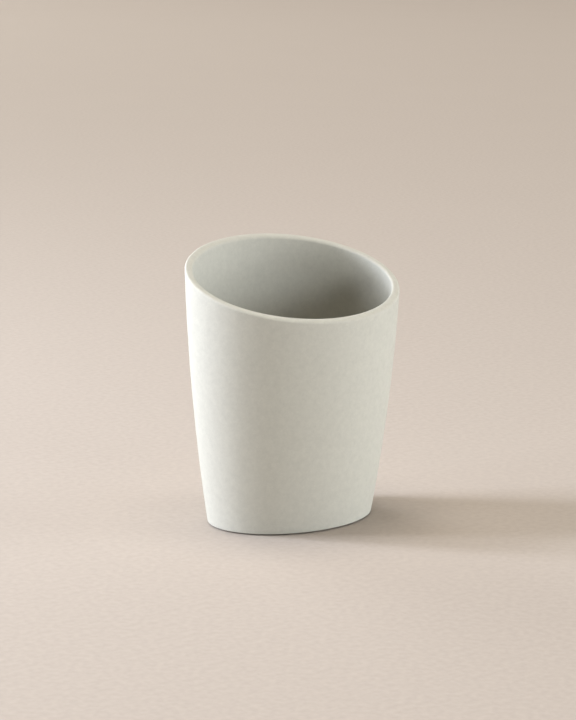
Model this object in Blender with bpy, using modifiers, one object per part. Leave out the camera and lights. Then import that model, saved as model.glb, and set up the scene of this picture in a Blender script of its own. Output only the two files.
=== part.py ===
"""Oval toothbrush holder: an open tumbler with a slanted lip, standing on a glued non-slip pad.

Metres, +Z up. The long way of the oval is along X, and the low side of the lip faces -Y.
The origin is the middle of the pad's underside, where the holder stands.
"""

from math import radians, tan

import bmesh
import bpy

# The tumbler's outside: a level oval foot and a larger, slanting oval lip, both as seen from
# above, and the height of the lip's plane over the foot on the upright axis
foot_length = 0.0732
foot_width = 0.0526
lip_length = 0.0952
lip_width = 0.0668
lip_height = 0.0979
lip_slant = radians(20.6)
straight_taper_share = 0.40

# The tumbler's wall, its floor above the pad's recess, and its rounded edges
wall_thickness = 0.0032
floor_thickness = 0.0032
lip_round = 0.0010
foot_round = 0.0003
floor_fillet = 0.0050

# The non-slip pad, the adhesive film above it, and their clearances in the recess
pad_margin = 0.0050
pad_thickness = 0.0015
pad_round = 0.0003
pad_below_foot = 0.0005
film_margin = 0.0010
film_thickness = 0.0002
side_clearance = 0.0004
seat_clearance = 0.0003

# Counts of the mesh, the flattest edge that is rounded, and how far a cutter runs past its cut
facets_around = 96
wall_rings = 6
edge_steps = 3
fillet_steps = 5
flattest_rounded = radians(45)
cut_overrun = 0.0050

# Levels above the ground, worked up from the pad
foot_level = pad_below_foot
film_level = pad_thickness + seat_clearance
recess_level = film_level + film_thickness + seat_clearance
floor_level = recess_level + floor_thickness


def clear_scene():
    for item in list(bpy.data.objects):
        bpy.data.objects.remove(item, do_unlink=True)


def new_collection(name):
    collection = bpy.data.collections.new(name)
    bpy.context.scene.collection.children.link(collection)
    return collection


def new_material(name, colour, roughness, metallic=0.0):
    material = bpy.data.materials.new(name)
    material.use_nodes = True
    shader = material.node_tree.nodes["Principled BSDF"]
    shader.inputs["Base Color"].default_value = (*colour, 1.0)
    shader.inputs["Roughness"].default_value = roughness
    shader.inputs["Metallic"].default_value = metallic
    return material


def oval_at(share, inset=0.0):
    """Half length and half width of the tumbler's oval at a share of the way from foot to lip."""
    curved_share = share * (2 - share)
    swell = straight_taper_share * share + (1 - straight_taper_share) * curved_share
    length = foot_length + (lip_length - foot_length) * swell
    width = foot_width + (lip_width - foot_width) * swell
    return length / 2 - inset, width / 2 - inset


def rings_of_wall():
    """Each ring's share of the way up, its share of the lip's slant and its inset: from the
    level foot up the outside to the lip, over it, and down the inside to the level floor."""
    rings = [(ring / wall_rings, ring / wall_rings, 0.0) for ring in range(wall_rings + 1)]
    floor_share = (floor_level - foot_level) / lip_height
    for ring in reversed(range(wall_rings + 1)):
        slant_share = ring / wall_rings
        share = floor_share + (1 - floor_share) * slant_share
        rings.append((share, slant_share, wall_thickness))
    return rings


def place_ring(ring_edges, drawn, share, slant_share, inset):
    """Stretch a ring from its drawn half sizes to the tumbler's oval and lift it to its plane."""
    half_length, half_width = oval_at(share, inset)
    for vert in {vert for edge in ring_edges for vert in edge.verts}:
        vert.co.x *= half_length / drawn[0]
        vert.co.y *= half_width / drawn[1]
        slant_lift = slant_share * tan(lip_slant) * vert.co.y
        vert.co.z = foot_level + share * lip_height + slant_lift
    return half_length, half_width


def round_off(shape, edges, width, steps):
    bmesh.ops.bevel(
        shape, geom=edges, offset=width, offset_type="OFFSET", affect="EDGES",
        segments=steps, profile=0.5, clamp_overlap=True,
    )


def draw_tumbler(shape):
    """Closed wall of the tumbler, extruded ring by ring from the foot, its edges rounded."""
    bmesh.ops.create_circle(shape, cap_ends=True, segments=facets_around, radius=1)
    ring_edges = shape.edges[:]
    rows = []
    drawn = (1, 1)
    for ring in rings_of_wall():
        if rows:
            extruded = bmesh.ops.extrude_edge_only(shape, edges=ring_edges)["geom"]
            ring_edges = [part for part in extruded if isinstance(part, bmesh.types.BMEdge)]
        drawn = place_ring(ring_edges, drawn, *ring)
        rows.append(ring_edges)
    bmesh.ops.edgeloop_fill(shape, edges=ring_edges)
    bmesh.ops.recalc_face_normals(shape, faces=shape.faces[:])
    outer_lip, inner_lip = rows[wall_rings], rows[wall_rings + 1]
    round_off(shape, outer_lip + inner_lip, lip_round, edge_steps)
    round_off(shape, rows[0], foot_round, edge_steps)
    round_off(shape, rows[-1], floor_fillet, fillet_steps)


def flat_oval(name, inset, low_level, high_level, collection):
    """Oval plate between two levels, its outline drawn in from the foot's by an inset."""
    bpy.ops.mesh.primitive_cylinder_add(vertices=facets_around, radius=1, depth=1)
    plate = bpy.context.active_object
    plate.name = name
    plate.data.name = name
    plate.scale = (*oval_at(0.0, inset), high_level - low_level)
    bpy.ops.object.transform_apply(location=False, rotation=False, scale=True)
    plate.location.z = (low_level + high_level) / 2
    for old in list(plate.users_collection):
        old.objects.unlink(plate)
    collection.objects.link(plate)
    return plate


def cut_out(item, cutter):
    """Take a cutter's shape out of an object, and keep the cutter as a guide."""
    boolean = item.modifiers.new(cutter.name, "BOOLEAN")
    boolean.operation = "DIFFERENCE"
    boolean.solver = "EXACT"
    boolean.object = cutter
    cutter.hide_render = True
    cutter.display_type = "WIRE"


def build_body(parts, cutters):
    """The moulded tumbler, with the pad's recess cut into its underside."""
    shape = bmesh.new()
    draw_tumbler(shape)
    mesh = bpy.data.meshes.new("tumbler_body")
    shape.to_mesh(mesh)
    shape.free()
    mesh.shade_smooth()
    mesh.set_sharp_from_angle(angle=flattest_rounded)
    mesh.materials.append(new_material("matte moulded resin", (0.48, 0.46, 0.40), 0.70))
    body = bpy.data.objects.new("tumbler_body", mesh)
    parts.objects.link(body)
    recess_margin = pad_margin - side_clearance
    below_foot = foot_level - cut_overrun
    cut_out(body, flat_oval("pad_recess", recess_margin, below_foot, recess_level, cutters))
    return body


def build_pad(parts):
    """The non-slip pad that the tumbler stands on, its edges softened by moulding."""
    pad = flat_oval("base_pad", pad_margin, 0.0, pad_thickness, parts)
    bevel = pad.modifiers.new("soft edges", "BEVEL")
    bevel.limit_method = "ANGLE"
    bevel.angle_limit = flattest_rounded
    bevel.width = pad_round
    bevel.segments = edge_steps
    pad.data.shade_smooth()
    pad.data.set_sharp_from_angle(angle=flattest_rounded)
    pad.data.materials.append(new_material("dark silicone", (0.045, 0.043, 0.040), 0.75))
    return pad


def build_film(parts):
    """The double-sided adhesive film between the pad and the top of the recess."""
    film_top = film_level + film_thickness
    film = flat_oval("pad_adhesive", pad_margin + film_margin, film_level, film_top, parts)
    film.data.materials.append(new_material("adhesive film", (0.75, 0.74, 0.70), 0.35))
    return film


def main():
    clear_scene()
    parts = new_collection("Toothbrush holder")
    cutters = new_collection("Cutters")
    holder = bpy.data.objects.new("holder", None)
    parts.objects.link(holder)
    for piece in (build_body(parts, cutters), build_pad(parts), build_film(parts)):
        piece.parent = holder


main()
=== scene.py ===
"""Looks of an oval toothbrush tumbler: a matte moulded wall with a slanted lip, on a dark pad.

Metres, +Z up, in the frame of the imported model. The long way of the oval is along X, and the
low side of the lip faces -Y.
"""

from math import cos, pi, radians, sin, tan

import bpy
from mathutils import Matrix, Vector


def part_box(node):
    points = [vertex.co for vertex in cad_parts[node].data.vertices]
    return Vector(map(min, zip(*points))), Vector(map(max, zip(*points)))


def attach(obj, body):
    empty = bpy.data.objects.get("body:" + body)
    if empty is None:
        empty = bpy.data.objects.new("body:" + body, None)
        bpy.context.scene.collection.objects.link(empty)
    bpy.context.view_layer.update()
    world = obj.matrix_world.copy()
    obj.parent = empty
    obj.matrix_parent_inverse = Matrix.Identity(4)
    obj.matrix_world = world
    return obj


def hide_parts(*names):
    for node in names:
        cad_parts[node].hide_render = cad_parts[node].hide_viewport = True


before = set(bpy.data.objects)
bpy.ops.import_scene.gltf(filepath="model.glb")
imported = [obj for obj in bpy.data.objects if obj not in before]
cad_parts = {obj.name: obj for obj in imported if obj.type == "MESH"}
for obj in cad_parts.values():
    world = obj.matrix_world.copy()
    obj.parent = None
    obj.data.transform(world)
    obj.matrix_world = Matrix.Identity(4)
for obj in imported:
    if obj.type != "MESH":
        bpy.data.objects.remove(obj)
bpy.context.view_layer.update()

# The tumbler's outside: a level oval foot and a larger, slanting oval lip, both as seen from
# above, and the height of the lip's plane over the foot on the upright axis
foot_length = 0.0732
foot_width = 0.0526
lip_length = 0.0952
lip_width = 0.0668
lip_height = 0.0979
lip_slant = radians(20.6)
straight_taper_share = 0.40

# Its wall, its floor and the pad's recess, with levels over the foot, and its rounded edges
wall_thickness = 0.0032
floor_height = 0.0050
recess_height = 0.0018
recess_margin = 0.0046
lip_round = 0.0010
foot_round = 0.0003
floor_fillet = 0.0050
recess_round = 0.0002

# The pad
pad_margin = 0.0050
pad_round = 0.0003

# Fineness of the swept surfaces, and how the ovals close up in the middle of a flat face
points_around = 192
points_of_round = 9
ring_spacing = 0.0012
disc_inset = 0.0120
closing_run = 0.0080
weld_distance = 0.000001

# The camera, at the photograph's viewing angle, aimed over the middle of the foot
view_azimuth = radians(-38.0)
view_elevation = radians(11.98)
view_roll = radians(-0.88)
view_distance = 0.9883
view_lens = 0.12187
film_side = 0.0360
aim_right = -0.00175
aim_up = 0.0624
millimetres_per_metre = 1000

# The studio, and the colours of its light
backdrop_size = 40.0
wide_light_distance = 10.0
window_light = (0.78, 0.85, 1.0)
wall_light = (0.90, 0.95, 1.0)
ceiling_light = (1.0, 0.923, 0.815)

foot_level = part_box("tumbler_body")[0].z
pad_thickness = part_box("base_pad")[1].z


class Socket:
    """A node's output. Arithmetic on it adds Math nodes to its tree."""

    def __init__(self, nodes, output):
        self.nodes = nodes
        self.output = output

    def __getitem__(self, name):
        """Another output of the same node."""
        return Socket(self.nodes, self.nodes.find(self.output.node.outputs, name))

    def __add__(self, other):
        return self.nodes.math("ADD", self, other)

    def __radd__(self, other):
        return self.nodes.math("ADD", other, self)

    def __sub__(self, other):
        return self.nodes.math("SUBTRACT", self, other)

    def __rsub__(self, other):
        return self.nodes.math("SUBTRACT", other, self)

    def __neg__(self):
        return self.nodes.math("SUBTRACT", 0.0, self)

    def __mul__(self, other):
        return self.nodes.math("MULTIPLY", self, other)

    def __truediv__(self, other):
        return self.nodes.math("DIVIDE", self, other)

    def at_least(self, other):
        return self.nodes.math("MAXIMUM", self, other)

    def at_most(self, other):
        return self.nodes.math("MINIMUM", self, other)


class Nodes:
    """A node tree, filled node by node."""

    def __init__(self, tree):
        self.tree = tree

    def find(self, sockets, name):
        """A socket by its number, or the first one in use that has the name."""
        if isinstance(name, int):
            return sockets[name]
        return next(socket for socket in sockets if socket.enabled and socket.name == name)

    def add(self, kind, settings=None, values=None):
        """Add a node: its settings come first, then the values or links of its sockets.

        The setting items is how many items an index switch has."""
        node = self.tree.nodes.new(kind)
        for name, setting in (settings or {}).items():
            if name == "items":
                for _ in range(setting - len(node.index_switch_items)):
                    node.index_switch_items.new()
            else:
                setattr(node, name, setting)
        for name, value in (values or {}).items():
            socket = self.find(node.inputs, name)
            if isinstance(value, Socket):
                self.tree.links.new(value.output, socket)
            else:
                socket.default_value = value
        outputs = [output for output in node.outputs if output.enabled]
        return Socket(self, outputs[0]) if outputs else None

    def math(self, operation, *values):
        return self.add("ShaderNodeMath", {"operation": operation}, dict(enumerate(values)))

    def pick(self, data_type, index, items):
        """The item that an index names."""
        settings = {"data_type": data_type, "items": len(items)}
        values = {str(number): item for number, item in enumerate(items)}
        return self.add("GeometryNodeIndexSwitch", settings, {"Index": index, **values})

    def point(self, x, y, z=0.0):
        return self.add("ShaderNodeCombineXYZ", None, {"X": x, "Y": y, "Z": z})

    def noise(self, place, scale, detail=2.0):
        values = {"Vector": place, "Scale": scale, "Detail": detail, "Roughness": 0.5}
        return self.add("ShaderNodeTexNoise", None, values)

    def blend(self, share, first, second):
        """A colour between two others."""
        values = {"Factor": share, "A": (*first, 1.0), "B": (*second, 1.0)}
        return self.add("ShaderNodeMix", {"data_type": "RGBA"}, values)


def rounded_profile(nodes, corners, given):
    """Curve through corners of an inset, a level and a rounding.

    Its points are no further apart than the ring spacing. Curve to Mesh lays its X outwards and
    its Y downwards."""
    index = nodes.add("GeometryNodeInputIndex")
    places = [nodes.point(-inset, -level) for inset, level, _ in corners]
    place = nodes.pick("VECTOR", index, places)
    rounding = nodes.pick("FLOAT", index, [rounding for _, _, rounding in corners])
    line = nodes.add("GeometryNodeMeshLine", None, {"Count": len(corners)})
    line = nodes.add("GeometryNodeSetPosition", None, {"Geometry": line, "Position": place})
    curve = nodes.add("GeometryNodeMeshToCurve", None, {"Mesh": line})
    curve = nodes.add("GeometryNodeFilletCurve", {"mode": "POLY"}, {
        "Curve": curve,
        "Count": given["Points of Round"],
        "Radius": rounding,
        "Limit Radius": True,
    })
    here = nodes.add("GeometryNodeInputPosition")
    ahead = nodes.add("GeometryNodeFieldAtIndex", {"data_type": "FLOAT_VECTOR"}, {
        "Value": here,
        "Index": index + 1,
    })
    run = nodes.add("ShaderNodeVectorMath", {"operation": "DISTANCE"}, {0: here, 1: ahead})
    cuts = nodes.math("FLOOR", run / given["Ring Spacing"])
    return nodes.add("GeometryNodeSubdivideCurve", None, {"Curve": curve, "Cuts": cuts})


def oval_place(nodes, given):
    """Place on the tumbler of a point swept round a circle of radius 1.

    The point's inset and level are kept. The oval at its level swells from foot to lip, and its
    level rises and falls with the lip's slant, by a share that grows from the foot outside and
    from the floor inside. Past the disc inset the ovals shrink to a point."""
    parts = nodes.add("ShaderNodeSeparateXYZ", None, {0: nodes.add("GeometryNodeInputPosition")})
    x, y, level = parts["X"], parts["Y"], parts["Z"]
    reach = nodes.math("SQRT", x * x + y * y)
    inset = 1.0 - reach
    share = level / given["Lip Height"]
    straight_share = given["Straight Share"]
    swell = share * straight_share + share * (2.0 - share) * (1.0 - straight_share)
    inside_share = (inset / given["Wall"]).at_least(0.0).at_most(1.0)
    slant_start = given["Floor Height"] * inside_share
    slant_share = ((level - slant_start) / (given["Lip Height"] - slant_start)).at_least(0.0)
    closing = (1.0 - (inset - given["Disc Inset"]) / given["Closing Run"]).at_least(0.0).at_most(1.0)
    half_sizes = []
    for way in ("Length", "Width"):
        foot, lip = given["Foot " + way], given["Lip " + way]
        half_size = (foot + (lip - foot) * swell) / 2.0 - inset.at_most(given["Disc Inset"])
        half_sizes.append(half_size * closing)
    placed_y = y / reach * half_sizes[1]
    lift = slant_share * given["Lip Slope"] * placed_y
    return nodes.point(x / reach * half_sizes[0], placed_y, level + lift + given["Foot Level"])


def oval_tree(name, sizes, corners_from):
    """Geometry Nodes that sweep a rounded profile round an oval."""
    tree = bpy.data.node_groups.new(name, "GeometryNodeTree")
    tree.interface.new_socket("Geometry", in_out="OUTPUT", socket_type="NodeSocketGeometry")
    for size_name, size in sizes.items():
        socket_type = "NodeSocketInt" if isinstance(size, int) else "NodeSocketFloat"
        tree.interface.new_socket(size_name, in_out="INPUT", socket_type=socket_type)
    tree.interface.new_socket("Material", in_out="INPUT", socket_type="NodeSocketMaterial")
    nodes = Nodes(tree)
    given = nodes.add("NodeGroupInput")
    profile = rounded_profile(nodes, corners_from(given), given)
    circle = nodes.add("GeometryNodeCurvePrimitiveCircle", None, {
        "Resolution": given["Points Around"],
        "Radius": 1.0,
    })
    shape = nodes.add("GeometryNodeCurveToMesh", None, {"Curve": circle, "Profile Curve": profile})
    place = oval_place(nodes, given)
    steps = (
        ("GeometryNodeSetPosition", {"Position": place}),
        ("GeometryNodeMergeByDistance", {"Distance": given["Weld Distance"]}),
        ("GeometryNodeSetShadeSmooth", {}),
        ("GeometryNodeRealizeInstances", {}),
        ("GeometryNodeSetMaterial", {"Material": given["Material"]}),
    )
    for kind, values in steps:
        shape = nodes.add(kind, None, {"Geometry": shape, **values})
    nodes.add("NodeGroupOutput", None, {"Geometry": shape})
    return tree


def swept_piece(name, sizes, corners_from, material):
    """Plain mesh object with the shape that the oval's Geometry Nodes give it."""
    source = bpy.data.objects.new(name + "_source", bpy.data.meshes.new(name + "_source"))
    bpy.context.scene.collection.objects.link(source)
    modifier = source.modifiers.new(name, "NODES")
    modifier.node_group = oval_tree(name, sizes, corners_from)
    values = {**sizes, "Material": material}
    for item in modifier.node_group.interface.items_tree:
        if item.in_out == "INPUT":
            modifier[item.identifier] = values[item.name]
    shown = source.evaluated_get(bpy.context.evaluated_depsgraph_get())
    mesh = bpy.data.meshes.new_from_object(shown)
    mesh.name = name
    bpy.data.objects.remove(source)
    piece = bpy.data.objects.new(name, mesh)
    bpy.context.scene.collection.objects.link(piece)
    return piece


def tumbler_corners(given):
    """From the middle of the floor, up the inside, over the lip, down the outside, under the
    foot and to the middle of the recess."""
    middle = given["Disc Inset"] + given["Closing Run"]
    return [
        (middle, given["Floor Height"], 0.0),
        (given["Wall"], given["Floor Height"], given["Floor Fillet"]),
        (given["Wall"], given["Lip Height"], given["Lip Round"]),
        (0.0, given["Lip Height"], given["Lip Round"]),
        (0.0, 0.0, given["Foot Round"]),
        (given["Recess Margin"], 0.0, given["Recess Round"]),
        (given["Recess Margin"], given["Recess Height"], given["Recess Round"]),
        (middle, given["Recess Height"], 0.0),
    ]


def pad_corners(given):
    """From the middle of the top, out, down and to the middle of the underside."""
    middle = given["Disc Inset"] + given["Closing Run"]
    return [
        (middle, given["Lip Height"], 0.0),
        (0.0, given["Lip Height"], given["Foot Round"]),
        (0.0, 0.0, given["Foot Round"]),
        (middle, 0.0, 0.0),
    ]


def build_tumbler(material):
    sizes = {
        "Foot Length": foot_length,
        "Foot Width": foot_width,
        "Lip Length": lip_length,
        "Lip Width": lip_width,
        "Lip Height": lip_height,
        "Lip Slope": tan(lip_slant),
        "Straight Share": straight_taper_share,
        "Foot Level": foot_level,
        "Wall": wall_thickness,
        "Floor Height": floor_height,
        "Recess Height": recess_height,
        "Recess Margin": recess_margin,
        "Lip Round": lip_round,
        "Foot Round": foot_round,
        "Floor Fillet": floor_fillet,
        "Recess Round": recess_round,
        "Disc Inset": disc_inset,
        "Closing Run": closing_run,
        "Ring Spacing": ring_spacing,
        "Weld Distance": weld_distance,
        "Points Around": points_around,
        "Points of Round": points_of_round,
    }
    return swept_piece("tumbler", sizes, tumbler_corners, material)


def build_pad(material):
    """The pad follows the tumbler's rule, with upright sides and a level top."""
    length = foot_length - 2 * pad_margin
    width = foot_width - 2 * pad_margin
    sizes = {
        "Foot Length": length,
        "Foot Width": width,
        "Lip Length": length,
        "Lip Width": width,
        "Lip Height": pad_thickness,
        "Lip Slope": 0.0,
        "Straight Share": 1.0,
        "Foot Level": 0.0,
        "Wall": wall_thickness,
        "Floor Height": 0.0,
        "Foot Round": pad_round,
        "Disc Inset": disc_inset,
        "Closing Run": closing_run,
        "Ring Spacing": ring_spacing,
        "Weld Distance": weld_distance,
        "Points Around": points_around,
        "Points of Round": points_of_round,
    }
    return swept_piece("non_slip_pad", sizes, pad_corners, material)


def new_material(name):
    material = bpy.data.materials.new(name)
    material.use_nodes = True
    material.node_tree.nodes.clear()
    nodes = Nodes(material.node_tree)
    return material, nodes, nodes.add("ShaderNodeTexCoord")["Object"]


def surface(nodes, values):
    shader = nodes.add("ShaderNodeBsdfPrincipled", None, values)
    nodes.add("ShaderNodeOutputMaterial", None, {"Surface": shader})


def bump(nodes, height, strength, distance):
    values = {"Height": height, "Strength": strength, "Distance": distance}
    return nodes.add("ShaderNodeBump", None, values)


def matte_resin():
    """Warm light grey moulded resin with a powdery skin and faint clouds of pigment."""
    material, nodes, place = new_material("matte resin")
    clouds = nodes.noise(place, 32.0, detail=3.0)
    peel = nodes.noise(place, 420.0)
    grain = nodes.noise(place, 1400.0)
    mottle = clouds * 0.2 + peel * 1.2 + grain * 1.0 - 0.7
    surface(nodes, {
        "Base Color": nodes.blend(mottle, (0.447, 0.430, 0.368), (0.513, 0.494, 0.422)),
        "Roughness": 0.68 + clouds * 0.08 + grain * 0.06,
        "IOR": 1.49,
        "Normal": bump(nodes, peel * 0.6 + grain * 0.4, 0.25, 0.00006),
    })
    return material


def pad_silicone():
    """Near-black silicone with a fine moulded grain."""
    material, nodes, place = new_material("pad silicone")
    clouds = nodes.noise(place, 60.0)
    grain = nodes.noise(place, 2200.0)
    surface(nodes, {
        "Base Color": nodes.blend(clouds, (0.030, 0.028, 0.026), (0.052, 0.049, 0.045)),
        "Roughness": 0.68 + grain * 0.15,
        "Normal": bump(nodes, grain, 0.5, 0.00015),
    })
    return material


def adhesive_film():
    """Milky double-sided film."""
    material, nodes, place = new_material("adhesive film")
    clouds = nodes.noise(place, 90.0)
    surface(nodes, {
        "Base Color": nodes.blend(clouds, (0.66, 0.64, 0.58), (0.78, 0.76, 0.70)),
        "Roughness": 0.30 + clouds * 0.15,
    })
    return material


def backdrop_paper():
    """Pale warm paper with a soft tooth."""
    material, nodes, place = new_material("backdrop paper")
    clouds = nodes.noise(place, 9.0)
    tooth = nodes.noise(place, 380.0, detail=4.0)
    mottle = clouds * 0.2 + tooth * 2.4 - 0.8
    surface(nodes, {
        "Base Color": nodes.blend(mottle, (0.401, 0.346, 0.295), (0.440, 0.378, 0.323)),
        "Roughness": 0.9,
        "Specular IOR Level": 0.2,
    })
    return material


def build_stage():
    bpy.ops.mesh.primitive_plane_add(size=backdrop_size)
    floor = bpy.context.active_object
    floor.name = "backdrop_floor"
    floor.data.materials.append(backdrop_paper())


def direction(azimuth, elevation):
    """Unit vector towards an azimuth, counted from +X to +Y, and an elevation."""
    return Vector((
        cos(azimuth) * cos(elevation), sin(azimuth) * cos(elevation), sin(elevation)
    ))


def build_camera():
    right = Vector((cos(view_azimuth), sin(view_azimuth), 0.0))
    back = direction(view_azimuth - radians(90), view_elevation)
    up = back.cross(right)
    lens = bpy.data.cameras.new("camera")
    lens.lens_unit = "MILLIMETERS"
    lens.lens = view_lens * millimetres_per_metre
    lens.sensor_width = film_side * millimetres_per_metre
    lens.clip_end = backdrop_size
    camera = bpy.data.objects.new("camera", lens)
    bpy.context.scene.collection.objects.link(camera)
    turn = Matrix((right, up, back)).transposed() @ Matrix.Rotation(-view_roll, 3, "Z")
    aim = Vector((0.0, 0.0, foot_level)) + right * aim_right + up * aim_up
    camera.matrix_world = Matrix.Translation(aim + back * view_distance) @ turn.to_4x4()
    bpy.context.scene.camera = camera


def place_light(light, azimuth, elevation, distance, brightness, colour):
    """Turn a light to the tumbler's middle. Its brightness there is in watts a square metre, as a
    sun's strength is."""
    light.color = colour
    light.energy = brightness if light.type == "SUN" else brightness * pi * distance ** 2
    lamp = bpy.data.objects.new(light.name, light)
    bpy.context.scene.collection.objects.link(lamp)
    away = direction(radians(azimuth), radians(elevation))
    lamp.location = Vector((0.0, 0.0, lip_height / 2)) + away * distance
    lamp.rotation_euler = away.to_track_quat("Z", "Y").to_euler()
    lamp.visible_camera = False


def softbox(name, azimuth, elevation, distance, spread, brightness, colour):
    """Round area light, as wide as its spread in degrees, seen from the tumbler."""
    light = bpy.data.lights.new(name, "AREA")
    light.shape = "DISK"
    light.size = 2 * distance * tan(radians(spread) / 2)
    place_light(light, azimuth, elevation, distance, brightness, colour)


def low_card(name, azimuth, distance, width, height, brightness, colour):
    """Upright reflector card that stands on the floor."""
    light = bpy.data.lights.new(name, "AREA")
    light.shape = "RECTANGLE"
    light.size = width
    light.size_y = height
    place_light(light, azimuth, 0, distance, brightness, colour)


def wide_light(name, azimuth, elevation, spread, brightness, colour):
    """Light from a patch of the room that is wide and far."""
    light = bpy.data.lights.new(name, "SUN")
    light.angle = radians(spread)
    place_light(light, azimuth, elevation, wide_light_distance, brightness, colour)


def build_lights():
    """A window on the left in four steps of height, what the walls send back, and the ceiling.

    The rows give azimuth, elevation, a softbox's distance, spread and brightness. The card's row
    gives azimuth, distance, width, height and brightness."""
    softbox("key", 136.5, 20, 0.8, 9.5, 1.28, window_light)
    softbox("side_key", 148, 15, 1.5, 9.5, 2.73, window_light)
    softbox("upper_key", 136.5, 28, 1.5, 9.5, 0.84, window_light)
    wide_light("high_key", 136.5, 44, 9.5, 0.76, window_light)
    softbox("left_wall", 160, 12, 2.0, 30, 0.41, wall_light)
    wide_light("left_front_wall", 175, 8, 14, 0.92, wall_light)
    wide_light("front_bounce", -80, 5, 30, 1.65, wall_light)
    wide_light("right_bounce", -26, 5, 26, 1.48, wall_light)
    wide_light("right_wall", -40, 20, 24, 0.72, wall_light)
    low_card("right_card", -45, 0.4, 0.4, 0.1, 0.93, wall_light)
    softbox("back_wall", 90, 20, 4.0, 30, 1.11, wall_light)
    softbox("left_ceiling", 142, 55, 2.5, 30, 0.12, wall_light)
    wide_light("ceiling", 0, 90, 40, 1.69, ceiling_light)
    wide_light("back_ceiling", 97, 75, 30, 0.71, ceiling_light)
    world = bpy.data.worlds.new("room")
    world.use_nodes = True
    world.node_tree.nodes["Background"].inputs["Strength"].default_value = 0.0
    bpy.context.scene.world = world
    bpy.context.scene.view_settings.view_transform = "Standard"


def build_pieces():
    tumbler = build_tumbler(matte_resin())
    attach(tumbler, "root")
    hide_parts("tumbler_body")
    pad = build_pad(pad_silicone())
    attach(pad, "root")
    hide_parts("base_pad")
    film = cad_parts["pad_adhesive"]
    film.data.materials.clear()
    film.data.materials.append(adhesive_film())


build_camera()
build_lights()
build_stage()
build_pieces()
